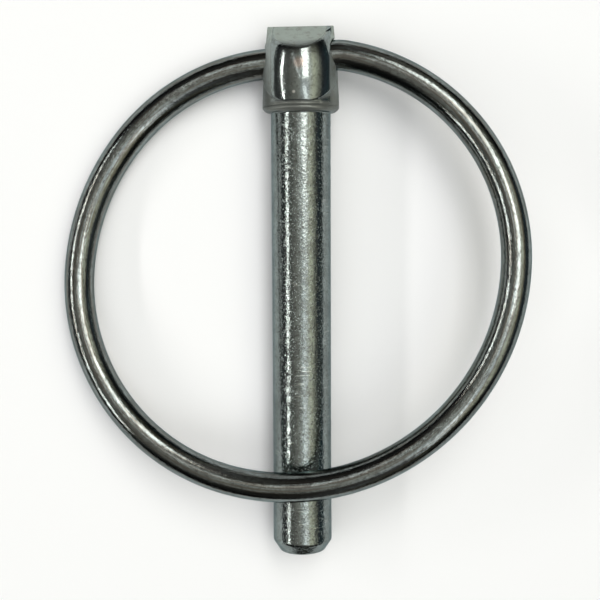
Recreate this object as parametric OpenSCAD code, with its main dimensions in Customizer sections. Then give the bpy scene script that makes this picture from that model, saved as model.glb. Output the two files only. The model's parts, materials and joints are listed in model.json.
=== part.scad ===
// Lynch pin: a forged steel pin with a wire ring hinged through its head.
// The ring folds down over the free end of the pin and keeps it in its hole.
// Lying pose: the pin lies along Y with its head towards +Y, +Z up, and the
// whole thing is rolled until one side of the ring touches what it lies on.
// Origin: on the pin's axis, where the shank leaves the underside of the head.

/* [Shank] */
// Diameter of the shank, the size the pin is sold by
shank_d = 6; // [5:0.5:8]
// Length of the free end past the middle of the folded ring's wire
end_past = 7.7; // [5:0.1:12]
// Length left between the truly round seat and the folded ring
seat_gap = 0.6; // [0.4:0.1:2]
// Growth of the radius from the seat to the cropped end
end_swell = 0.04; // [0:0.01:0.1]
// Radial size of the chamfer at the free end
tip_cut = 0.72; // [0.3:0.02:1]
// Length of the chamfer at the free end
tip_cut_len = 1.15; // [0.5:0.05:1.6]
// Slant of the cropped end face in degrees
tip_slant = 1.6; // [0:0.1:3]

/* [Head] */
// Height of the head from its underside to the ridge
head_h = 8.65; // [8.3:0.05:10.4]
// How far the broad front and back faces stand out past the shank
face_out = 0.52; // [0.3:0.02:1]
// Radius of the broad faces across the pin
face_r = 4.25; // [3.8:0.05:5]
// Radius of the broad faces along the pin
dome_r = 10; // [8:0.5:14]
// Height above the underside where the head is thickest
dome_up = 3.7; // [3.4:0.1:4.4]
// How far the flat sides stand out past the shank, where the head is thickest
side_out = 0.68; // [0.5:0.02:1]
// Draft of the flat sides towards the ridge in degrees
side_draft = 2.3; // [0:0.1:4]
// Turn of the flats that cut the corners beside the roof in degrees
bevel_turn = 49; // [44:1:54]
// Rise of the flats that cut the corners beside the roof in degrees
bevel_rise = 32; // [26:1:38]
// Height above the underside where the body of the head begins
body_low = 1.1; // [0.8:0.05:1.4]
// Corner radius of that lower edge, seen from the front
body_round = 2.5; // [1.5:0.1:3]
// Slope of the two roof faces of the head in degrees
roof_slope = 36; // [26:1:38]
// How far each die half's rounding stands out past the shank, from its own centre
land_out = 0.98; // [0.7:0.02:1.3]
// Distance from the axis to each die half's own centre, at the underside
land_off = 0.75; // [0.4:0.05:1]
// Lean of each die half's face towards the parting line in degrees
land_draft = 9.5; // [4:0.5:14]
// Height of the rounded underside of the head
foot_h = 0.95; // [0.5:0.05:1.2]

/* [Cross hole] */
// Height of the cross hole above the underside, on the axis
hole_up = 5.32; // [5:0.02:5.8]
// Radial play of the wire in the cross hole
hole_play = 0.08; // [0.05:0.01:0.1]
// Slope of the cross hole in degrees, higher on the right
hole_slope = 6.14; // [3:0.1:7]

/* [Ring] */
// Diameter of the ring's wire
wire_d = 3; // [2.5:0.1:3.2]
// Longest width of the ring, from wire centre to wire centre
ring_long = 44.82; // [40:0.1:54]
// Shortest width as a share of the longest
ring_oval = 0.9535; // [0.94:0.001:0.97]
// Angle in degrees that each of the two tighter arcs takes
end_sweep = 80.92; // [76:0.02:84]
// Turn of the longest width from the hinge line in degrees
ring_turn = 31.7; // [20:0.5:40]
// Distance of the ring's middle to the left of the pin's axis
ring_left = 2.86; // [2:0.02:3.6]
// Bend radius where the wire enters the right side of the head
bend_right = 4.1; // [3:0.1:6]
// How far inside the head's side the right bend begins
bend_in = 0.36; // [0.1:0.02:0.5]
// How far outside the head's side the left bend begins
bend_out = 0.24; // [0:0.02:1]
// Gap between the two wire ends inside the cross hole
end_gap = 1; // [0.4:0.1:2]
// Play between the folded ring and the front of the shank
rest_play = 0.06; // [0.03:0.01:0.1]

/* [Hidden] */
$fn = 96;
zinc = "#9aa39e";
bright = "#8b9294";

shank_r = shank_d / 2;
wire_r = wire_d / 2;
hole_r = wire_r + hole_play;
thick_r = shank_r + face_out;
side_x = shank_r + side_out;
ridge_x = side_x - (head_h - dome_up) * tan(side_draft);
face_back = face_r - thick_r;
land_r = shank_r + land_out;
foot_r = shank_r + foot_h;

// joints between arcs stand at whole hundredths of a degree, and the radii and
// centres follow from them, so that neighbours meet exactly
function hundredth(value) = round(100 * value) / 100;

// the ring is an oval of four arcs, in its own plane: s along the hinge line, t up
half_long = ring_long / 2;
half_short = half_long * ring_oval;
half_sweep = end_sweep / 2;
arc_step = (half_long - half_short) / (sin(half_sweep) + cos(half_sweep) - 1);
end_c = arc_step * cos(half_sweep);
side_c = arc_step * sin(half_sweep);
end_arc = half_long - end_c;
side_arc = half_short + side_c;

// the right bend leaves the hinge line and meets the top arc from inside, which
// sets how far below the hinge line the oval hangs
top_s = -ring_left + side_c * sin(ring_turn);
right_touch = max(hundredth(acos((side_x - bend_in - top_s) / (side_arc - bend_right))),
    ring_turn + half_sweep + 0.5);
right_s = top_s + (side_arc - bend_right) * cos(right_touch);
top_t = -bend_right - (side_arc - bend_right) * sin(right_touch);
ring_t = top_t + side_c * cos(ring_turn);
function oval_centre(turn, reach) = [-ring_left + reach * cos(turn), ring_t + reach * sin(turn)];
centre_right = oval_centre(ring_turn, end_c);
centre_top = oval_centre(ring_turn + 90, -side_c);
centre_left = oval_centre(ring_turn + 180, end_c);
centre_low = oval_centre(ring_turn + 270, -side_c);

// the left bend starts at its own place: that point, the summit of the top arc and
// the point where the bend meets the arc lie on one line, which gives the radius
left_touch = hundredth(90 + 2 * atan2(top_t + side_arc, top_s + side_x + bend_out));
bend_left = -(top_t + side_arc * sin(left_touch)) / (1 - sin(left_touch));
left_s = top_s + (side_arc - bend_left) * cos(left_touch);

// where the folded ring crosses the pin's axis, which sets how far it leans forward
cross_s = (centre_low[1] - side_arc) * tan(hole_slope);
cross_t = centre_low[1] - sqrt(side_arc * side_arc - pow(cross_s - centre_low[0], 2));
ring_lean = asin((shank_r + wire_r + rest_play) / -cross_t);
cross_y = hole_up + cross_s * sin(hole_slope) + cross_t * cos(hole_slope) * cos(ring_lean);

// the shank's seat ends short of the folded ring, and its free end stands past it
seat_len = -cross_y - wire_r - seat_gap;
pin_len = -cross_y + end_past;

// height of the ring's lowest point for a roll of the pin, right side up
function ring_low(roll) =
    let (
        rise_s = cos(hole_slope) * sin(roll),
        rise_t = -sin(hole_slope) * cos(ring_lean) * sin(roll) - sin(ring_lean) * cos(roll)
    )
    top_s * rise_s + top_t * rise_t - side_arc * norm([rise_s, rise_t]) - wire_r;

// the pin rolls on the back of its head until the ring's left side is as low
function head_low(roll) = face_back * cos(roll) - face_r;
function settle(low, high, steps) =
    let (mid = (low + high) / 2)
    steps == 0 ? mid
    : ring_low(mid) > head_low(mid) ? settle(mid, high, steps - 1)
    : settle(low, mid, steps - 1);
lie_roll = settle(0, 30, 24);

// the whole pin, laid down: its own +Y is the head end, its own +Z the front
module lying() {
    rotate([0, -lie_roll, 0])
        children();
}

// frame of the hinge line: +X along the hole to the right, origin on the axis
module on_hinge() {
    translate([0, hole_up, 0])
        rotate([0, 0, hole_slope])
            children();
}

// a solid of revolution about the pin's axis from [radius, height] points
module turned(points) {
    rotate([-90, 0, 0])
        rotate_extrude()
            polygon(points);
}

// shank with its round seat, the slight swell and the chamfered free end
module shank() {
    swell_r = shank_r + end_swell;
    difference() {
        turned([
            [0, 0.5],
            [shank_r, 0.5],
            [shank_r, -seat_len],
            [swell_r, -pin_len + tip_cut_len],
            [swell_r - tip_cut, -pin_len],
            [0, -pin_len]
        ]);
        translate([0, -pin_len, 0])
            rotate([0, 0, tip_slant])
                translate([-shank_d, -2, -shank_d])
                    cube([2 * shank_d, 2, 2 * shank_d]);
    }
}

// one broad face of the head as a whole solid of revolution, round across the
// pin and slowly domed along it
module broad_face(side) {
    translate([0, dome_up, -side * face_back])
        rotate([-90, 0, 0])
            rotate_extrude()
                intersection() {
                    translate([face_r - dome_r, 0])
                        circle(r = dome_r);
                    translate([0, -dome_up])
                        square([face_r, head_h]);
                }
}

// everything beyond a plane through a point, whose normal starts along +X,
// rises and then turns to the front
module beyond(point, turn, rise) {
    translate(point)
        rotate([0, -turn, 0])
            rotate([0, 0, rise])
                translate([0, -2 * head_h, -2 * head_h])
                    cube([2 * head_h, 4 * head_h, 4 * head_h]);
}

// what is trimmed from one side: the flat side and the two roof corners
module trimmed() {
    beyond([side_x, dome_up, 0], 0, side_draft);
    for (front = [-1, 1])
        beyond([ridge_x, head_h, 0], front * bevel_turn, bevel_rise);
}

// outline of the head's body from the front, round at its lower corners
module body_outline() {
    out = side_x - 0.03;
    in = out - body_round;
    union() {
        polygon([
            [-in, body_low],
            [in, body_low],
            [out, body_low + body_round],
            [side_x + 1, body_low + body_round + 1],
            [side_x + 1, head_h + 1],
            [-side_x - 1, head_h + 1],
            [-side_x - 1, body_low + body_round + 1],
            [-out, body_low + body_round]
        ]);
        for (side = [-1, 1])
            translate([side * in, body_low + body_round])
                circle(r = body_round);
    }
}

// body of the head, sunk in the two die halves
module body() {
    difference() {
        intersection() {
            broad_face(1);
            broad_face(-1);
            translate([0, 0, -2 * face_r])
                linear_extrude(height = 4 * face_r)
                    body_outline();
        }
        trimmed();
        mirror([1, 0, 0])
            trimmed();
    }
}

// one die half's body: a cylinder whose face leans back to the parting line
module land(side) {
    translate([0, 0, -side * land_off])
        rotate([-side * land_draft, 0, 0])
            rotate([-90, 0, 0])
                translate([0, 0, -4])
                    cylinder(r = land_r, h = head_h + 8);
}

// the two die halves' common body, with the rounded underside
module lands() {
    intersection() {
        land(1);
        land(-1);
        union() {
            turned([
                [0, -0.4],
                [shank_r - 0.4, -0.4],
                [shank_r, 0.05],
                [shank_r, foot_h],
                [0, foot_h]
            ]);
            rotate([-90, 0, 0])
                rotate_extrude()
                    intersection() {
                        translate([foot_r - foot_h, foot_h + 0.05])
                            circle(r = foot_h);
                        square([foot_r, foot_h + 0.05]);
                    }
            turned([
                [0, 0.5],
                [shank_r - 0.2, 0.5],
                [shank_r - 0.2, foot_h + 0.05],
                [foot_r, foot_h + 0.05],
                [foot_r, head_h],
                [0, head_h]
            ]);
        }
    }
}

// everything above the two roof faces
module over_roof() {
    for (side = [-1, 1])
        translate([0, head_h, 0])
            rotate([side * roof_slope, 0, 0])
                translate([-2 * side_x, 0, side > 0 ? 0 : -4 * side_x])
                    cube([4 * side_x, 2 * side_x, 4 * side_x]);
}

// pin: shank and forged head in one piece, drilled for the ring
module pin() {
    color(zinc)
        lying()
            difference() {
                union() {
                    shank();
                    body();
                    lands();
                }
                over_roof();
                on_hinge()
                    rotate([0, 90, 0])
                        translate([0, 0, -2 * side_x])
                            cylinder(r = hole_r, h = 4 * side_x);
            }
}

// a child in its exact place: a coarse move, then the remainder
module place(point) {
    coarse = [for (value = point) hundredth(value)];
    translate(coarse)
        translate(point - coarse)
            children();
}

// one arc of wire about a centre in the ring's plane
module wire_arc(centre, radius, from, to) {
    place([centre[0], centre[1], 0])
        rotate_extrude(angle = to - from, start = from)
            place([radius, 0])
                circle(r = wire_r);
}

// one straight wire end, from the foot of its bend into the cross hole
module wire_end(foot, tip) {
    place([foot, 0, 0])
        rotate([0, tip > foot ? 90 : -90, 0])
            cylinder(r = wire_r, h = abs(tip - foot));
}

// ring: one piece of wire, five arcs and two bends, its ends in the cross hole
module ring() {
    color(bright)
        lying()
            on_hinge()
                rotate([-ring_lean, 0, 0])
                    union() {
                        wire_end(right_s, end_gap / 2);
                        wire_arc([right_s, -bend_right], bend_right, right_touch, 90);
                        wire_arc(centre_top, side_arc, ring_turn + half_sweep, right_touch);
                        wire_arc(centre_right, end_arc, ring_turn - half_sweep, ring_turn + half_sweep);
                        wire_arc(centre_low, side_arc, ring_turn + 180 + half_sweep,
                            ring_turn + 360 - half_sweep);
                        wire_arc(centre_left, end_arc, ring_turn + 180 - half_sweep,
                            ring_turn + 180 + half_sweep);
                        wire_arc(centre_top, side_arc, left_touch, ring_turn + 180 - half_sweep);
                        wire_arc([left_s, -bend_left], bend_left, 90, left_touch);
                        wire_end(left_s, -end_gap / 2);
                    }
}

pin();
ring();
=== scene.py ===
import json
import math

import bpy
import numpy as np
from mathutils import Matrix, Vector


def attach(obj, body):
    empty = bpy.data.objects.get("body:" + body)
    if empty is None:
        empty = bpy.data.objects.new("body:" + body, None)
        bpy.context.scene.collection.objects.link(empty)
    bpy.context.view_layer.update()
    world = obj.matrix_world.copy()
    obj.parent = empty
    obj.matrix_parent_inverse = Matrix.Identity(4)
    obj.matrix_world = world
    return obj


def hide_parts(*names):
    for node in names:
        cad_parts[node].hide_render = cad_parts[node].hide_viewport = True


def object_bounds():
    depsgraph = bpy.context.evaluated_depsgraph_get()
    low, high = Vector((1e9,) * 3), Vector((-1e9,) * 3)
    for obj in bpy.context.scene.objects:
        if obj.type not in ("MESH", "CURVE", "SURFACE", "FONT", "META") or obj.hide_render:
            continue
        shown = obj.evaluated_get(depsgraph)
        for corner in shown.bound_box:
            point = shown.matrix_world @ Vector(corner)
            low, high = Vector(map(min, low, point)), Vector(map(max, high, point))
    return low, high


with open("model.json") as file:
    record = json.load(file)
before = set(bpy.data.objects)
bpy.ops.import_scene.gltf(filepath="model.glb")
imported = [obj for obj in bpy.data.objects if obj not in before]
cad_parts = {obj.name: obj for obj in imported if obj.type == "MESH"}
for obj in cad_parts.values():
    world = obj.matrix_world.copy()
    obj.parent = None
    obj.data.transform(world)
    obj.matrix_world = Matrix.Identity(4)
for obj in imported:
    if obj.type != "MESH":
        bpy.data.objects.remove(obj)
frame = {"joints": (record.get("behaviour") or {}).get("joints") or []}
cad_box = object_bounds()

MM = 0.001

# The ring's hinge line, from left to right. It lies in the pin's middle plane, so it tells
# how far the pin is rolled about its length and how the cross hole slopes.
hinge = frame["joints"][0]
hinge_line = -Vector(hinge["axis"])
ROLL = math.atan2(hinge_line.z, hinge_line.x)
HOLE_SLOPE = math.asin(hinge_line.y)
HOLE_UP = hinge["pos_m"][1] / MM

# Sizes are in millimetres. The pin's own frame: x to the right, u along the pin towards
# the head, w to the front.
SHANK_R = 3.0
SWELL_R = SHANK_R + 0.04  # at the cropped end
END_PAST = 7.7  # length of the free end past the middle of the folded wire
SEAT_GAP = 0.6  # between the straight seat and the folded wire
SHANK_TOP = 2  # how far the shank runs up inside the head
TIP_CUT = 0.72
TIP_CUT_LEN = 1.15
TIP_SLANT = math.radians(1.6)
TIP_CUT_SOFT = 0.09
TIP_END_SOFT = 0.13

# the head: two domed broad faces, trimmed sides and a ridged roof
HEAD_H = 8.65
FACE_R = 4.1
FACE_BACK = FACE_R - SHANK_R - 0.52  # the faces stand out this much past the shank
FACE_SOFT = 0.1
FACE_EDGE_SOFT = 0.05
DOME_R = 10.0
DOME_UP = 3.7
SIDE_X = SHANK_R + 0.68
SIDE_DRAFT = math.radians(2.3)
RIDGE_X = SIDE_X - (HEAD_H - DOME_UP) * math.tan(SIDE_DRAFT)
EDGE_X = (3.12, 2.42)  # the flats beside the broad face, right and left
EDGE_W = (2.08, 2.73)
EDGE_TURN = (math.radians(33), math.radians(45.7))
EDGE_BOW = 16
EDGE_DROP = 0.35
EDGE_SOFT = 0.12
BEVEL_TURN = math.radians(49)
BEVEL_RISE = math.radians(32)
BEVEL_SOFT = 0.1
BODY_OUT = SIDE_X - 0.03
BODY_LOW = 1.1
BODY_ROUND = 2.5
BODY_SOFT = 0.1
BROW = 0.11
BROW_SPREAD = 1.885  # length of the two surfaces' directions added, where face and roof meet
BROW_SOFT = 0.04
ROOF_SLOPE = math.radians(36)
RIDGE_SOFT = 0.22
ROOF_SOFT = 0.05

# the lands that the two die halves leave under the head, and its foot round the shank
LAND_R = SHANK_R + 0.98
LAND_OFF = 0.75
LAND_DRAFT = math.radians(9.5)
LAND_SOFT = 0.16
PARTING_SOFT = 0.12
GROOVE_UP = 0.86
GROOVE_R = 0.10
GROOVE_HALF = 2.1
GROOVE_FADE = 0.5
RIM_OUT = 0.16
RIM_H = 0.66
RIM_SOFT = 0.2
RIM_BLEND = 0.08
FOOT_CORE = SHANK_R
FOOT_H = 0.95
FOOT_GAP = 0.05
FLARE_FRONT = 0.85  # how far the foot goes out for each millimetre up, at the front
FLARE_SIDE = 9  # and what its left and right add to that
FLARE_OUT = 0.02
FLARE_SOFT = 0.12
AXIS_GUARD = 0.1  # keeps a division away from zero on the axis
NECK_SOFT = 0.14

WIRE_R = 1.5
HOLE_R = WIRE_R + 0.08
HOLE_SOFT = 0.13

# the pin's mesh: start, stop and step along it, fine at the end and at the head
GRID_HALF = 4.17
GRID_COUNT = 99
GRID_ALONG = ((-45.1, -43.1, 0.11), (-43.0, -0.75, 0.34), (-0.6, 8.9, 0.088))
SETTLE_PASSES = 4
SETTLE_MOST = 0.06
NORMAL_STEP = 0.004

# where the plating is dull: beyond the broad face's edges and low on the foot
DULL_SIDE = (3.0, 2.62)  # right and left
DULL_SIDE_WIDTH = 0.15
DULL_DEPTH = 0.14
DULL_DEPTH_START = 0.2
DULL_FOOT_UP = 1.2
DULL_FOOT_WIDTH = 0.25
DULL_START_WIDTH = 0.12

# the ring, in its own plane: s along the hinge line, t up, angles in degrees from s
RING_LONG = 44.82
RING_OVAL = 0.9535  # its shortest width as a share of its longest
HALF_SWEEP = 40.46  # half of what each of the two tighter arcs takes
RING_TURN = 31.7
RING_LEFT = 2.86  # from the pin's axis to the ring's middle
RIGHT_BEND_R = 4.1
BEND_IN = 0.36  # how far inside the head's side the right bend begins
BEND_OUT = 0.24  # how far outside it the left bend begins
END_GAP = 1.0
REST_PLAY = 0.06  # between the folded ring and the shank
WIRE_SIDES = 56
ARC_STEP = 0.12
END_STEPS = (24, 28)  # points along the straight ends, right and left

# between which heights along the pin its looks change, in metres
SHANK_ENDS = (0.0, 0.0012)
ROOF_STARTS = (0.0066, 0.0071)
FOOT_ENDS = (0.0010, 0.0030)

# single marks on the head: centre in the pin's own frame, and radius
BROWN_AT = ((-0.85, 4.7, 3.5), 0.8)
BRIGHT_AT = ((-1.3, 1.9, 3.1), 0.22)
DARK_AT = ((-0.27, 8.2, 0.6), 0.25)
SPOT_CORE = 0.3  # share of a mark's radius that has its full colour

# base colours, linear
ZINC_PALE = (0.262, 0.298, 0.29)
ZINC_DEEP = (0.205, 0.23, 0.224)
ZINC_GRAIN = (0.13, 0.14, 0.13)
ZINC_EDGE = (0.42, 0.48, 0.50, 1)  # at grazing angles
RUBBED = (0.42, 0.45, 0.43)
BROWN_SPOT = (0.40, 0.30, 0.25)
BRIGHT_NICK = (0.75, 0.78, 0.76)
DARK_NICK = (0.10, 0.12, 0.11)
DULL_FLAT = (0.27, 0.30, 0.285)
# painted light: the roof is coloured lighter than the flats, standing in for the bright light it
# reflects
ROOF_PAINTED_LIGHT = (0.35, 0.40, 0.36)
STAIN = (0.19, 0.185, 0.16)
# painted shade: the foot under the head is coloured darker towards its bottom
FOOT_PAINTED_SHADE = (0.15, 0.155, 0.14)
WIRE_PALE = (0.255, 0.288, 0.284)
WIRE_DEEP = (0.185, 0.203, 0.198)
WIRE_GRAIN = (0.125, 0.135, 0.13)
WIRE_STREAK = (0.15, 0.143, 0.125)
WIRE_EDGE = (0.42, 0.50, 0.52, 1)
FLOOR_WHITE = (0.935, 0.945, 0.96, 1)

# the floor, and the lamps' distance from the middle they point at, in metres
FLOOR_HALF = 3
LAMP_FAR = 0.6
LAMP_MIDDLE = (0, -0.02, 0)

# the camera: turned from straight above towards the head and to the right, in radians
CAMERA_HEADWARD = 0.1133
CAMERA_RIGHTWARD = 0.1084
CAMERA_TILT = -0.0045
CAMERA_FAR = 0.115
CAMERA_TARGET = [0, -22, 0]
SENSOR = 36
LENS = 67.314
VIEW_SHIFT = (-0.002917, 0.053167)  # as a share of the view's width

# the studio's light, by degrees to the right of straight up
STUDIO_BANDS = (
    (-90, (0.26, 0.27, 0.26)), (-80, (0.07, 0.07, 0.07)), (-66, (0.09, 0.09, 0.09)),
    (-46, (0.20, 0.20, 0.18)), (-24, (0.40, 0.38, 0.34)), (-10, (0.62, 0.60, 0.54)),
    (0, (0.88, 0.90, 0.88)), (12, (1.15, 1.15, 1.15)), (34, (1.20, 1.16, 0.90)),
    (44, (0.72, 0.70, 0.56)), (54, (0.32, 0.31, 0.26)), (60, (0.06, 0.07, 0.08)),
    (86, (0.05, 0.08, 0.09)), (90, (0.34, 0.38, 0.39)),
)
# how much of it is left towards the two ends: 0 is straight past the tip, 1 past the head
STUDIO_ENDS = ((0.20, 0.12), (0.31, 1.0), (0.68, 1.0), (0.80, 0.18))


def step(degrees, reach):
    """A step in the ring's plane: across and up."""
    angle = math.radians(degrees)
    return np.array([math.cos(angle), math.sin(angle)]) * reach


def hundredth(value):
    """A value to two places."""
    return round(100 * value) / 100


# an oval of two wide and two tighter arcs: how far their centres stand from its middle
arc_off = RING_LONG / 2 * (1 - RING_OVAL) / (step(HALF_SWEEP, 1).sum() - 1)
END_OFF, SIDE_OFF = step(HALF_SWEEP, arc_off)
END_ARC = RING_LONG / 2 - END_OFF
SIDE_ARC = RING_LONG / 2 * RING_OVAL + SIDE_OFF

# the right bend leaves the hinge line and meets the top arc from inside, which sets how
# far below the hinge line the oval hangs
top_s = -RING_LEFT - step(RING_TURN + 90, SIDE_OFF)[0]
reach = SIDE_ARC - RIGHT_BEND_R
RIGHT_TOUCH = hundredth(math.degrees(math.acos((SIDE_X - BEND_IN - top_s) / reach)))
RIGHT_BEND = np.array([top_s + step(RIGHT_TOUCH, reach)[0], -RIGHT_BEND_R])
CENTRE_TOP = np.array([top_s, -RIGHT_BEND_R - step(RIGHT_TOUCH, reach)[1]])
middle = CENTRE_TOP + step(RING_TURN + 90, SIDE_OFF)
CENTRE_RIGHT = middle + step(RING_TURN, END_OFF)
CENTRE_LEFT = middle - step(RING_TURN, END_OFF)
CENTRE_LOW = middle + step(RING_TURN + 90, SIDE_OFF)

# the start of the left bend, the top arc's summit and the point where the bend meets that
# arc lie on one line, which gives the bend's radius
summit = CENTRE_TOP[1] + SIDE_ARC
LEFT_TOUCH = hundredth(90 + math.degrees(2 * math.atan2(summit, top_s + SIDE_X + BEND_OUT)))
touch_rise = step(LEFT_TOUCH, 1)[1]
LEFT_BEND_R = -(CENTRE_TOP[1] + SIDE_ARC * touch_rise) / (1 - touch_rise)
LEFT_BEND = np.array([top_s + step(LEFT_TOUCH, SIDE_ARC - LEFT_BEND_R)[0], -LEFT_BEND_R])

# where the folded ring crosses the pin's axis: the ring leans forward there to clear the
# shank, and the shank's lengths follow
cross_s = (CENTRE_LOW[1] - SIDE_ARC) * math.tan(HOLE_SLOPE)
cross_t = CENTRE_LOW[1] - math.sqrt(SIDE_ARC ** 2 - (cross_s - CENTRE_LOW[0]) ** 2)
RING_LEAN = math.asin((SHANK_R + WIRE_R + REST_PLAY) / -cross_t)
cross_down = -HOLE_UP - cross_s * math.sin(HOLE_SLOPE)
cross_down -= cross_t * math.cos(HOLE_SLOPE) * math.cos(RING_LEAN)
SEAT_LEN = hundredth(cross_down - WIRE_R - SEAT_GAP)
PIN_LEN = hundredth(cross_down + END_PAST)


def laid_down(own):
    """Points in the pin's own frame, in millimetres, as metres in the shared frame."""
    c, s = math.cos(ROLL), math.sin(ROLL)
    return np.stack([own[:, 0] * c - own[:, 2] * s, own[:, 1], own[:, 0] * s + own[:, 2] * c], 1) * MM


def placed(name, data):
    """A new object at the origin, in the scene."""
    made = bpy.data.objects.new(name, data)
    bpy.context.scene.collection.objects.link(made)
    return made


# ---------------------------------------------------------------- forged pin

def soft_min(a, b, k):
    """The joining of two forms, with a fillet about k wide between them."""
    h = np.clip(0.5 + 0.5 * (b - a) / k, 0, 1)
    return b + (a - b) * h - k * h * (1 - h)


def soft_max(a, b, k):
    """What two forms share, with the edge between them rounded."""
    return -soft_min(-a, -b, k)


def rounded_stub(rho, u, core, top, radius):
    """A round boss about the axis, its lower edge rounded, going up without end."""
    out = np.maximum(rho - core, 0)
    down = np.maximum(top - u, 0)
    inside = np.minimum(np.maximum(rho - core, top - u), 0)
    return np.hypot(out, down) + inside - radius


def leaning_half(x, u, w, side):
    """One die half's body: a cylinder whose face leans back to the parting line."""
    dy, dz = math.cos(LAND_DRAFT), -side * math.sin(LAND_DRAFT)
    qw = w + side * LAND_OFF
    along = u * dy + qw * dz
    return np.sqrt(x * x + (u - along * dy) ** 2 + (qw - along * dz) ** 2) - LAND_R


def domed_front(x, u, w, side):
    """The head's broad face: round across, with a slower dome along the pin."""
    across = np.hypot(x, w + side * FACE_BACK)
    return np.hypot(across - (FACE_R - DOME_R), u - DOME_UP) - DOME_R


def broad_faces(x, u, w):
    """The two broad faces of the head, front and back."""
    return soft_max(domed_front(x, u, w, 1), domed_front(x, u, w, -1), FACE_SOFT)


def trimmed(x, u, w):
    """The head's trimmed sides with draft, the flats beside the faces, the bevels by the ridge."""
    edge_x, edge_w, turn = (np.where(x > 0, right, left) for right, left in (EDGE_X, EDGE_W, EDGE_TURN))
    x, w = np.abs(x), np.abs(w)
    flat = (x - SIDE_X) * math.cos(SIDE_DRAFT) + (u - DOME_UP) * math.sin(SIDE_DRAFT)
    flank = (x - RIDGE_X) * math.cos(BEVEL_TURN) + w * math.sin(BEVEL_TURN)
    bevel = flank * math.cos(BEVEL_RISE) + (u - HEAD_H) * math.sin(BEVEL_RISE)
    drop = np.minimum((u - DOME_UP) ** 2 / (2 * EDGE_BOW), EDGE_DROP)
    corner = (x - edge_x) * np.cos(turn) + (w - edge_w + drop) * np.sin(turn)
    return soft_max(soft_max(flat, corner, EDGE_SOFT), bevel, BEVEL_SOFT)


def shank_form(x, u, rho):
    """The round shank, a little swollen below its seat, its end chamfered and cropped."""
    swell = np.clip((-u - SEAT_LEN) / (PIN_LEN - TIP_CUT_LEN - SEAT_LEN), 0, 1)
    side = rho - (SHANK_R + (SWELL_R - SHANK_R) * swell)
    size = math.hypot(TIP_CUT, TIP_CUT_LEN)
    chamfer = ((rho - SWELL_R) * TIP_CUT_LEN - (u + PIN_LEN - TIP_CUT_LEN) * TIP_CUT) / size
    end = x * math.sin(TIP_SLANT) - (u + PIN_LEN) * math.cos(TIP_SLANT)
    end = np.maximum(end, -(u + PIN_LEN))
    shank = soft_max(soft_max(side, chamfer, TIP_CUT_SOFT), end, TIP_END_SOFT)
    return np.maximum(shank, u - SHANK_TOP)


def land_form(x, u, w, rho):
    """The die halves' lands under the head, with the groove and the rim round the foot."""
    halves = soft_max(leaning_half(x, u, w, 1), leaning_half(x, u, w, -1), PARTING_SOFT)
    foot = rounded_stub(rho, u, FOOT_CORE, FOOT_H + FOOT_GAP, FOOT_H)
    lands = soft_max(halves, foot, LAND_SOFT)
    fade = np.maximum(np.abs(x) - GROOVE_HALF, 0) * GROOVE_FADE
    groove = np.hypot(halves, u - GROOVE_UP) - GROOVE_R + fade
    lands = soft_max(lands, -groove, LAND_SOFT)
    rim = soft_max(soft_max(halves - RIM_OUT, foot, RIM_SOFT), u - RIM_H, LAND_SOFT)
    lands = soft_min(lands, rim, RIM_BLEND)
    flare = FLARE_FRONT + FLARE_SIDE * (x / np.maximum(rho, AXIS_GUARD)) ** 4
    under = (rho - SHANK_R - FLARE_OUT - u * flare) / np.hypot(1, flare)
    return soft_max(lands, under, FLARE_SOFT)


def hole_form(x, u, w):
    """Everything outside the cross hole, whose line climbs to the right."""
    hx, hy = math.cos(HOLE_SLOPE), math.sin(HOLE_SLOPE)
    along = x * hx + (u - HOLE_UP) * hy
    off = np.sqrt((x - along * hx) ** 2 + (u - HOLE_UP - along * hy) ** 2 + w * w)
    return HOLE_R - off


def pin_form(p):
    """Signed distance, in millimetres, to the skin of the forged pin."""
    x, u, w = p[..., 0], p[..., 1], p[..., 2]
    rho = np.hypot(x, w)
    shank = shank_form(x, u, rho)
    face = broad_faces(x, u, w)
    outline = rounded_stub(np.abs(x), u, BODY_OUT - BODY_ROUND, BODY_LOW + BODY_ROUND, BODY_ROUND)
    pillow = soft_max(soft_max(face, trimmed(x, u, w), FACE_EDGE_SOFT), outline, BODY_SOFT)
    lands = land_form(x, u, w, rho)
    cs, sn = math.cos(ROOF_SLOPE), math.sin(ROOF_SLOPE)
    roof = soft_max((u - HEAD_H) * cs + w * sn, (u - HEAD_H) * cs - w * sn, RIDGE_SOFT)
    pillow = soft_max(pillow, (face + roof) / BROW_SPREAD + BROW, BROW_SOFT)
    head = soft_max(soft_min(pillow, lands, BODY_SOFT), roof, ROOF_SOFT)
    body = soft_min(head, shank, NECK_SOFT)
    return soft_max(body, hole_form(x, u, w), HOLE_SOFT)


def slope_of(form, p, step=0.01):
    """How a form grows in each direction at some points."""
    g = np.empty_like(p)
    for i in range(3):
        d = np.zeros(3)
        d[i] = step
        g[:, i] = (form(p + d) - form(p - d)) / (2 * step)
    return g


def neighbours(axis):
    """Slices that pair each grid point with the next one along an axis."""
    low, high = [slice(None)] * 3, [slice(None)] * 3
    low[axis], high[axis] = slice(0, -1), slice(1, None)
    return tuple(low), tuple(high)


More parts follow.
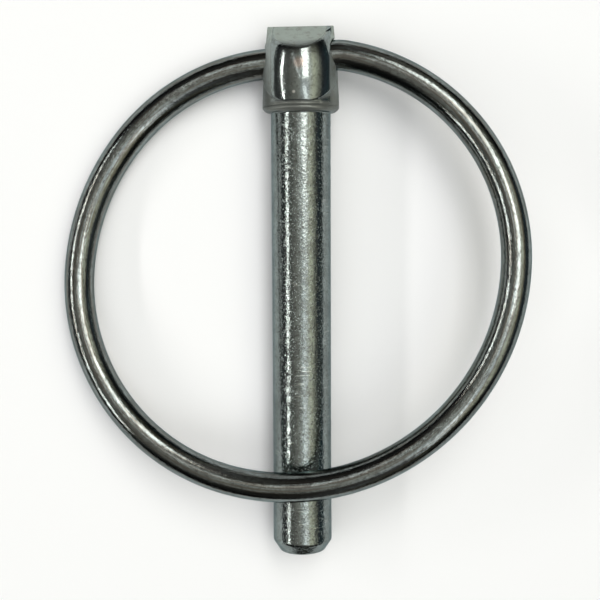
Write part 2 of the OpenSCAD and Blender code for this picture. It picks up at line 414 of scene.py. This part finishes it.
def skin(form, xs, ys, zs):
    """A closed mesh of quads on the zero level of a form, one point a grid cell."""
    grid = np.stack(np.meshgrid(xs, ys, zs, indexing="ij"), -1)
    f = form(grid)
    inside = f < 0
    shape = tuple(n - 1 for n in f.shape)
    total = np.zeros(shape + (3,))
    count = np.zeros(shape)
    for axis in range(3):
        others = [a for a in range(3) if a != axis]
        low, high = neighbours(axis)
        cross = inside[low] != inside[high]
        t = np.where(cross, f[low] / np.where(cross, f[low] - f[high], 1), 0)
        where = (grid[low] + (grid[high] - grid[low]) * t[..., None]) * cross[..., None]
        for i in (0, 1):
            for j in (0, 1):
                cut = [slice(None)] * 3
                cut[others[0]] = slice(i, i + shape[others[0]])
                cut[others[1]] = slice(j, j + shape[others[1]])
                total += where[tuple(cut)]
                count += cross[tuple(cut)]
    number = -np.ones(shape, int)
    live = count > 0
    number[live] = np.arange(live.sum())
    points = total[live] / count[live][:, None]
    faces = []
    for axis in range(3):
        b, c = (axis + 1) % 3, (axis + 2) % 3
        low, high = neighbours(axis)
        cross = np.argwhere(inside[low] != inside[high])
        ok = (cross[:, b] > 0) & (cross[:, b] < shape[b]) & (cross[:, c] > 0) & (cross[:, c] < shape[c])
        cross = cross[ok]
        corners = []
        for db, dc in ((-1, -1), (0, -1), (0, 0), (-1, 0)):
            cell = cross.copy()
            cell[:, b] += db
            cell[:, c] += dc
            corners.append(number[tuple(cell.T)])
        quads = np.stack(corners, 1)
        out = inside[tuple(cross.T)]
        quads[~out] = quads[~out][:, ::-1]
        faces.append(quads)
    for _ in range(SETTLE_PASSES):
        g = slope_of(form, points)
        move = g * (form(points) / np.maximum((g * g).sum(1), 1e-6))[:, None]
        points -= np.clip(move, -SETTLE_MOST, SETTLE_MOST)
    return points, np.concatenate(faces)


def dullness(x, u, w):
    """0 on the shank and the broad faces, 1 on the flats, the roof and the foot."""
    beside = (np.abs(x) - np.where(x > 0, *DULL_SIDE)) / DULL_SIDE_WIDTH
    off_face = -broad_faces(x, u, w) / DULL_DEPTH - DULL_DEPTH_START
    at_foot = (DULL_FOOT_UP - u) / DULL_FOOT_WIDTH
    dull = np.maximum.reduce([off_face, beside, at_foot])
    return np.clip(dull, 0, 1) * np.clip(u / DULL_START_WIDTH, 0, 1)


def forged_pin(material):
    """The pin as one closed piece: shank, foot, lands and head, with the cross hole."""
    across = np.linspace(-GRID_HALF, GRID_HALF, GRID_COUNT)
    along = np.concatenate([np.arange(*steps) for steps in GRID_ALONG])
    points, faces = skin(pin_form, across, along, across)
    normals = slope_of(pin_form, points, NORMAL_STEP)
    normals /= np.maximum(np.linalg.norm(normals, axis=1), 1e-9)[:, None]
    mesh = bpy.data.meshes.new("forged_pin")
    mesh.from_pydata(laid_down(points).tolist(), [], faces.tolist())
    dull = mesh.attributes.new("dull", "FLOAT", "POINT")
    dull.data.foreach_set("value", dullness(*points.T))
    mesh.update()
    for poly in mesh.polygons:
        poly.use_smooth = True
    mesh.normals_split_custom_set_from_vertices((laid_down(normals) / MM).tolist())
    mesh.materials.append(material)
    return placed("forged_pin", mesh)


# ----------------------------------------------------------------- wire ring

def arc_points(centre, radius, start, stop):
    """Points along an arc in the ring's plane, without its last one."""
    count = max(2, int(abs(math.radians(stop - start)) * radius / ARC_STEP))
    angles = np.radians(np.linspace(start, stop, count, endpoint=False))
    return np.stack([centre[0] + radius * np.cos(angles), centre[1] + radius * np.sin(angles)], 1)


def wire_path():
    """The wire's centre line from its right end round to its left end."""
    right_steps, left_steps = END_STEPS
    far = RING_TURN + HALF_SWEEP
    near = RING_TURN - HALF_SWEEP
    s_t = np.concatenate([
        np.stack([
            np.linspace(END_GAP / 2, RIGHT_BEND[0], right_steps, endpoint=False),
            np.zeros(right_steps),
        ], 1),
        arc_points(RIGHT_BEND, RIGHT_BEND_R, 90, RIGHT_TOUCH),
        arc_points(CENTRE_TOP, SIDE_ARC, RIGHT_TOUCH, far),
        arc_points(CENTRE_RIGHT, END_ARC, far, near),
        arc_points(CENTRE_LOW, SIDE_ARC, near, far - 180),
        arc_points(CENTRE_LEFT, END_ARC, far - 180, near - 180),
        arc_points(CENTRE_TOP, SIDE_ARC, near + 180, LEFT_TOUCH),
        arc_points(LEFT_BEND, LEFT_BEND_R, LEFT_TOUCH, 90),
        np.stack([np.linspace(LEFT_BEND[0], -END_GAP / 2, left_steps), np.zeros(left_steps)], 1),
    ])
    s, t = s_t[:, 0], s_t[:, 1]
    up, out = t * math.cos(RING_LEAN), -t * math.sin(RING_LEAN)
    x = s * math.cos(HOLE_SLOPE) - up * math.sin(HOLE_SLOPE)
    y = s * math.sin(HOLE_SLOPE) + up * math.cos(HOLE_SLOPE) + HOLE_UP
    return np.stack([x, y, out], 1)


def wire_tree(material):
    """A round wire along a path; each point keeps the place it had on the straight wire."""
    tree = bpy.data.node_groups.new("wire_along_path", "GeometryNodeTree")
    face = tree.interface
    face.new_socket("Path", in_out="INPUT", socket_type="NodeSocketGeometry")
    radius = face.new_socket("Wire radius", in_out="INPUT", socket_type="NodeSocketFloat")
    sides = face.new_socket("Sides", in_out="INPUT", socket_type="NodeSocketInt")
    face.new_socket("Wire", in_out="OUTPUT", socket_type="NodeSocketGeometry")
    nodes, links = tree.nodes, tree.links
    given = nodes.new("NodeGroupInput")
    made = nodes.new("NodeGroupOutput")
    curve = nodes.new("GeometryNodeMeshToCurve")
    spline = nodes.new("GeometryNodeSplineParameter")
    keep_length = nodes.new("GeometryNodeCaptureAttribute")
    keep_length.capture_items.new("FLOAT", "Length")
    circle = nodes.new("GeometryNodeCurvePrimitiveCircle")
    place = nodes.new("GeometryNodeInputPosition")
    keep_round = nodes.new("GeometryNodeCaptureAttribute")
    keep_round.capture_items.new("VECTOR", "Round")
    tube = nodes.new("GeometryNodeCurveToMesh")
    tube.inputs["Fill Caps"].default_value = True
    apart = nodes.new("ShaderNodeSeparateXYZ")
    joined = nodes.new("ShaderNodeCombineXYZ")
    store = nodes.new("GeometryNodeStoreNamedAttribute")
    store.data_type = "FLOAT_VECTOR"
    store.domain = "POINT"
    store.inputs["Name"].default_value = "straight_wire"
    smooth = nodes.new("GeometryNodeSetShadeSmooth")
    real = nodes.new("GeometryNodeRealizeInstances")
    finish = nodes.new("GeometryNodeSetMaterial")
    finish.inputs["Material"].default_value = material
    links.new(given.outputs["Path"], curve.inputs["Mesh"])
    links.new(curve.outputs["Curve"], keep_length.inputs["Geometry"])
    links.new(spline.outputs["Length"], keep_length.inputs["Length"])
    links.new(given.outputs["Wire radius"], circle.inputs["Radius"])
    links.new(given.outputs["Sides"], circle.inputs["Resolution"])
    links.new(circle.outputs["Curve"], keep_round.inputs["Geometry"])
    links.new(place.outputs["Position"], keep_round.inputs["Round"])
    links.new(keep_length.outputs["Geometry"], tube.inputs["Curve"])
    links.new(keep_round.outputs["Geometry"], tube.inputs["Profile Curve"])
    links.new(keep_round.outputs["Round"], apart.inputs["Vector"])
    links.new(keep_length.outputs["Length"], joined.inputs["X"])
    links.new(apart.outputs["X"], joined.inputs["Y"])
    links.new(apart.outputs["Y"], joined.inputs["Z"])
    links.new(tube.outputs["Mesh"], store.inputs["Geometry"])
    links.new(joined.outputs["Vector"], store.inputs["Value"])
    links.new(store.outputs["Geometry"], smooth.inputs["Geometry"])
    links.new(smooth.outputs["Geometry"], real.inputs["Geometry"])
    links.new(real.outputs["Geometry"], finish.inputs["Geometry"])
    links.new(finish.outputs["Geometry"], made.inputs["Wire"])
    return tree, radius.identifier, sides.identifier


def wire_ring(material):
    """The ring: one bent wire, its two ends pointing at each other in the cross hole."""
    path = laid_down(wire_path())
    mesh = bpy.data.meshes.new("wire_path")
    mesh.from_pydata(path.tolist(), [(i, i + 1) for i in range(len(path) - 1)], [])
    carrier = placed("wire_path", mesh)
    tree, radius_id, sides_id = wire_tree(material)
    nodes = carrier.modifiers.new("wire", "NODES")
    nodes.node_group = tree
    nodes[radius_id] = WIRE_R * MM
    nodes[sides_id] = WIRE_SIDES
    graph = bpy.context.evaluated_depsgraph_get()
    made = bpy.data.meshes.new_from_object(carrier.evaluated_get(graph), depsgraph=graph)
    made.name = "wire_ring"
    bpy.data.objects.remove(carrier)
    return placed("wire_ring", made)


# ----------------------------------------------------------------- materials

class Shader:
    """Short calls for building one material's node tree."""

    def __init__(self, name):
        self.material = bpy.data.materials.new(name)
        self.material.use_nodes = True
        self.tree = self.material.node_tree
        self.tree.nodes.clear()
        self.out = self.tree.nodes.new("ShaderNodeOutputMaterial")
        self.bsdf = self.tree.nodes.new("ShaderNodeBsdfPrincipled")
        self.link(self.bsdf.outputs[0], self.out.inputs["Surface"])

    def link(self, a, b):
        self.tree.links.new(a, b)

    def put(self, node, name, value):
        """Link a socket or set a plain value at one of a node's inputs."""
        socket = node.inputs[name]
        if isinstance(value, bpy.types.NodeSocket):
            self.link(value, socket)
        else:
            socket.default_value = value

    def mapped(self, source, scale=(1, 1, 1), turn=(0, 0, 0)):
        node = self.tree.nodes.new("ShaderNodeMapping")
        self.put(node, "Vector", source)
        self.put(node, "Rotation", turn)
        self.put(node, "Scale", scale)
        return node.outputs[0]

    def noise(self, vector, scale, detail, rough):
        node = self.tree.nodes.new("ShaderNodeTexNoise")
        self.put(node, "Vector", vector)
        self.put(node, "Scale", scale)
        self.put(node, "Detail", detail)
        self.put(node, "Roughness", rough)
        return node.outputs["Fac"]

    def ramp(self, value, start, stop):
        """A smooth step between two pairs, each of a value and its result."""
        node = self.tree.nodes.new("ShaderNodeMapRange")
        node.interpolation_type = "SMOOTHSTEP"
        self.put(node, "Value", value)
        for end, (given, result) in (("Min", start), ("Max", stop)):
            self.put(node, "From " + end, given)
            self.put(node, "To " + end, result)
        return node.outputs["Result"]

    def math(self, kind, a, b=0.0, c=0.0):
        node = self.tree.nodes.new("ShaderNodeMath")
        node.operation = kind
        for i, value in enumerate((a, b, c)):
            self.put(node, i, value)
        return node.outputs[0]

    def blend(self, factor, a, b):
        """Colour a at a factor of 0, colour b at 1."""
        node = self.tree.nodes.new("ShaderNodeMix")
        node.data_type = "RGBA"
        self.put(node, 0, factor)
        for i, colour in ((6, a), (7, b)):
            self.put(node, i, (*colour, 1) if isinstance(colour, tuple) else colour)
        return node.outputs[2]

    def own(self, name, kind="Fac"):
        """A value the piece's mesh carries at each point."""
        node = self.tree.nodes.new("ShaderNodeAttribute")
        node.attribute_name = name
        return node.outputs[kind]

    def spot(self, place, centre, radius):
        """1 at a point on the piece, in own millimetres, falling to 0 at a radius."""
        node = self.tree.nodes.new("ShaderNodeVectorMath")
        node.operation = "DISTANCE"
        self.link(place, node.inputs[0])
        node.inputs[1].default_value = [value * MM for value in centre]
        return self.ramp(node.outputs["Value"], (SPOT_CORE * radius * MM, 1), (radius * MM, 0))

    def relief(self, *layers):
        """Bumps laid one over the other, each a height, a strength and a depth in metres."""
        normal = None
        for height, strength, depth in layers:
            node = self.tree.nodes.new("ShaderNodeBump")
            self.put(node, "Height", height)
            self.put(node, "Strength", strength)
            self.put(node, "Distance", depth)
            if normal is not None:
                self.link(normal, node.inputs["Normal"])
            normal = node.outputs[0]
        self.put(self.bsdf, "Normal", normal)


def plated_forging():
    """Bright zinc over the forged pin: mottling, orange peel, rub marks, duller flats, painted light on
    the roof and painted shade low on the foot.
    """
    s = Shader("plated_forging")
    place = s.tree.nodes.new("ShaderNodeTexCoord").outputs["Object"]
    own = s.mapped(place, turn=(0, -ROLL, 0))
    apart = s.tree.nodes.new("ShaderNodeSeparateXYZ")
    s.link(own, apart.inputs[0])
    along = apart.outputs["Y"]
    on_shank = s.ramp(along, (SHANK_ENDS[0], 1), (SHANK_ENDS[1], 0))
    cloud = s.noise(own, 700, 4, 0.6)
    grain = s.noise(own, 3400, 4, 0.65)
    rubbed = s.noise(s.mapped(own, scale=(0.12, 1, 0.12)), 5200, 2, 0.5)
    here = s.noise(s.mapped(own, scale=(1, 0.6, 1)), 420, 2, 0.5)
    marks = s.math("MULTIPLY", s.ramp(rubbed, (0.6, 0), (0.68, 1)), s.ramp(here, (0.52, 0), (0.6, 1)))
    marks = s.math("MULTIPLY", marks, on_shank)
    colour = s.blend(s.ramp(cloud, (0.35, 0), (0.65, 1)), ZINC_PALE, ZINC_DEEP)
    colour = s.blend(s.ramp(grain, (0.5, 0), (0.66, 0.7)), colour, ZINC_GRAIN)
    colour = s.blend(s.math("MULTIPLY", marks, 0.6), colour, RUBBED)
    colour = s.blend(s.math("MULTIPLY", s.spot(own, *BROWN_AT), 0.5), colour, BROWN_SPOT)
    colour = s.blend(s.spot(own, *BRIGHT_AT), colour, BRIGHT_NICK)
    colour = s.blend(s.spot(own, *DARK_AT), colour, DARK_NICK)
    dull = s.own("dull")
    roof = s.ramp(along, (ROOF_STARTS[0], 0), (ROOF_STARTS[1], 1))
    colour = s.blend(s.math("MULTIPLY", dull, 0.7), colour, DULL_FLAT)
    # painted light: the roof, which faces up, is painted lighter
    colour = s.blend(s.math("MULTIPLY", s.math("MULTIPLY", dull, roof), 0.8), colour, ROOF_PAINTED_LIGHT)
    stain = s.ramp(s.noise(own, 1200, 5, 0.7), (0.48, 0), (0.68, 0.55))
    colour = s.blend(s.math("MULTIPLY", dull, stain), colour, STAIN)
    # painted shade: darker low on the head and its foot, where it meets the shank
    low = s.math("MULTIPLY", dull, s.ramp(along, (FOOT_ENDS[0], 0.75), (FOOT_ENDS[1], 0)))
    colour = s.blend(low, colour, FOOT_PAINTED_SHADE)
    s.put(s.bsdf, "Base Color", colour)
    rough = s.ramp(s.math("ADD", cloud, s.math("MULTIPLY", grain, 0.5)), (0.55, 0.08), (0.95, 0.17))
    s.put(s.bsdf, "Roughness", s.math("ADD", rough, s.math("MULTIPLY", dull, 0.22)))
    s.put(s.bsdf, "Metallic", s.math("MULTIPLY_ADD", dull, -0.45, 1.0))
    s.put(s.bsdf, "Specular Tint", ZINC_EDGE)
    wave = s.noise(s.mapped(own, scale=(1, 0.35, 1)), 700, 2, 0.5)
    peel = s.noise(own, 3000, 3, 0.55)
    specks = s.ramp(s.noise(own, 4600, 2, 0.5), (0.56, 0), (0.68, 1))
    skin_deep = s.math("MULTIPLY_ADD", on_shank, 0.8, 0.2)
    s.relief(
        (wave, 0.3, 0.0001),
        (s.math("MULTIPLY", peel, skin_deep), 0.65, 0.00005),
        (s.math("MULTIPLY", specks, skin_deep), 0.7, 0.000014),
        (marks, 0.5, 0.00001),
        (s.math("MULTIPLY", grain, dull), 0.5, 0.00005),
    )
    return s.material


def plated_wire():
    """Bright zinc over drawn wire: faint drawing lines along it and a soft mottling."""
    s = Shader("plated_wire")
    straight = s.own("straight_wire", "Vector")
    s.put(s.bsdf, "Metallic", 1.0)
    drawn = s.noise(s.mapped(straight, scale=(0.03, 1, 1)), 5000, 3, 0.6)
    cloud = s.noise(s.mapped(straight, scale=(0.4, 1, 1)), 1100, 4, 0.6)
    grain = s.noise(s.mapped(straight, scale=(0.5, 1, 1)), 3600, 4, 0.65)
    colour = s.blend(s.ramp(cloud, (0.35, 0), (0.65, 1)), WIRE_PALE, WIRE_DEEP)
    colour = s.blend(s.ramp(grain, (0.48, 0), (0.66, 0.8)), colour, WIRE_GRAIN)
    colour = s.blend(s.ramp(drawn, (0.44, 0), (0.6, 0.75)), colour, WIRE_STREAK)
    s.put(s.bsdf, "Base Color", colour)
    s.put(s.bsdf, "Roughness", s.ramp(cloud, (0.3, 0.06), (0.7, 0.13)))
    s.put(s.bsdf, "Specular Tint", WIRE_EDGE)
    s.relief((drawn, 0.4, 0.00003), (cloud, 0.25, 0.00005), (grain, 0.5, 0.00004))
    return s.material


# ------------------------------------------------------- floor, light, camera

def standing(side, up, back, place):
    """The matrix of something that looks along -back, with its right and up sides given."""
    return Matrix((
        (side.x, up.x, back.x, place.x),
        (side.y, up.y, back.y, place.y),
        (side.z, up.z, back.z, place.z),
        (0, 0, 0, 1),
    ))


def white_floor(level):
    """The sheet that the pin lies on."""
    corners = [(x * FLOOR_HALF, y * FLOOR_HALF, level) for x, y in ((-1, -1), (1, -1), (1, 1), (-1, 1))]
    mesh = bpy.data.meshes.new("floor")
    mesh.from_pydata(corners, [], [(0, 1, 2, 3)])
    floor = placed("floor", mesh)
    s = Shader("white_floor")
    s.put(s.bsdf, "Base Color", FLOOR_WHITE)
    s.put(s.bsdf, "Roughness", 0.8)
    s.put(s.bsdf, "Specular IOR Level", 0.0)
    mesh.materials.append(s.material)


def toward(across, along):
    """Unit direction: degrees from straight up to the right, then degrees towards the head."""
    a, b = math.radians(across), math.radians(along)
    return Vector((math.sin(a) * math.cos(b), math.sin(b), math.cos(a) * math.cos(b)))


def softbox(name, across, along, wide, tall, radiance, turn=0, colour=(1, 1, 1), seen=True):
    """A soft rectangular lamp, its place and size in degrees as the pin sees them."""
    lamp = bpy.data.lights.new(name, "AREA")
    lamp.shape = "RECTANGLE"
    lamp.size = 2 * LAMP_FAR * math.tan(math.radians(wide / 2))
    lamp.size_y = 2 * LAMP_FAR * math.tan(math.radians(tall / 2))
    lamp.energy = math.pi * lamp.size * lamp.size_y * radiance
    lamp.color = colour
    holder = placed(name, lamp)
    back = toward(across, along)
    side = Vector((0, 1, 0)).cross(back).normalized()
    up = back.cross(side)
    c, n = math.cos(math.radians(turn)), math.sin(math.radians(turn))
    side, up = side * c + up * n, up * c - side * n
    holder.matrix_world = standing(side, up, back, Vector(LAMP_MIDDLE) + back * LAMP_FAR)
    holder.visible_glossy = seen


def fill_ramp(node, stops):
    """Give a colour ramp its stops, easing from one to the next."""
    node.color_ramp.interpolation = "EASE"
    points = node.color_ramp.elements
    while len(points) < len(stops):
        points.new(0.5)
    for point, (place, colour) in zip(points, stops):
        point.position = place
        point.color = (*colour, 1)


def studio():
    """Light bands across the pin, fading towards its two ends, and five soft lamps."""
    world = bpy.data.worlds.new("studio")
    bpy.context.scene.world = world
    world.use_nodes = True
    tree = world.node_tree
    tree.nodes.clear()
    add = tree.nodes.new
    out = add("ShaderNodeOutputWorld")
    place = add("ShaderNodeTexCoord")
    apart = add("ShaderNodeSeparateXYZ")
    tree.links.new(place.outputs["Generated"], apart.inputs[0])
    angle = add("ShaderNodeMath")
    angle.operation = "ARCTAN2"
    tree.links.new(apart.outputs["X"], angle.inputs[0])
    tree.links.new(apart.outputs["Z"], angle.inputs[1])
    share = add("ShaderNodeMapRange")
    tree.links.new(angle.outputs[0], share.inputs["Value"])
    share.inputs["From Min"].default_value = -math.pi / 2
    share.inputs["From Max"].default_value = math.pi / 2
    bands = add("ShaderNodeValToRGB")
    tree.links.new(share.outputs[0], bands.inputs["Fac"])
    fill_ramp(bands, [(0.5 + degrees / 180, colour) for degrees, colour in STUDIO_BANDS])
    level = add("ShaderNodeMath")
    level.operation = "MULTIPLY_ADD"
    tree.links.new(apart.outputs["Y"], level.inputs[0])
    level.inputs[1].default_value = level.inputs[2].default_value = 0.5
    ends = add("ShaderNodeValToRGB")
    tree.links.new(level.outputs[0], ends.inputs["Fac"])
    fill_ramp(ends, [(share_along, (grey, grey, grey)) for share_along, grey in STUDIO_ENDS])
    sky = add("ShaderNodeBackground")
    tree.links.new(bands.outputs["Color"], sky.inputs["Color"])
    tree.links.new(ends.outputs["Color"], sky.inputs["Strength"])
    tree.links.new(sky.outputs[0], out.inputs["Surface"])
    softbox("key", 10, 24, 18, 42, 4.2, colour=(1.03, 1, 0.95))
    softbox("lower strip", 15, -22, 7, 36, 1.7, turn=35)
    softbox("upper strip", -17, 17, 4, 34, 1.7, turn=42)
    softbox("left strip", -58, 2, 3.4, 54, 12.5, colour=(1.03, 1, 0.96))
    softbox("overhead", 0, 0, 80, 80, 0.48, colour=(0.95, 0.99, 1.05), seen=False)


def camera():
    """The pin seen from above, nearly square on."""
    lens = bpy.data.cameras.new("camera")
    lens.sensor_width = SENSOR
    lens.lens = LENS
    lens.shift_x, lens.shift_y = VIEW_SHIFT
    lens.clip_start = 0.01
    lens.clip_end = 50
    holder = placed("camera", lens)
    e, b = CAMERA_HEADWARD, CAMERA_RIGHTWARD
    own = np.array([
        CAMERA_TARGET,
        [math.cos(e) * math.sin(b), math.sin(e), math.cos(e) * math.cos(b)],
        [0, 1, 0],
    ], float)
    target, back, up = laid_down(own)
    target, back, up = Vector(target), Vector(back / MM), Vector(up / MM)
    right = up.cross(back).normalized()
    up = back.cross(right)
    c, n = math.cos(CAMERA_TILT), math.sin(CAMERA_TILT)
    right, up = right * c + up * n, up * c - right * n
    holder.matrix_world = standing(right, up, back, target + back * CAMERA_FAR)
    bpy.context.scene.camera = holder


pin = forged_pin(plated_forging())
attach(pin, "pin")
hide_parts("pin")

ring = wire_ring(plated_wire())
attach(ring, "ring")
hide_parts("ring")

white_floor(cad_box[0][2])
studio()
camera()
bpy.context.scene.view_settings.view_transform = "Standard"
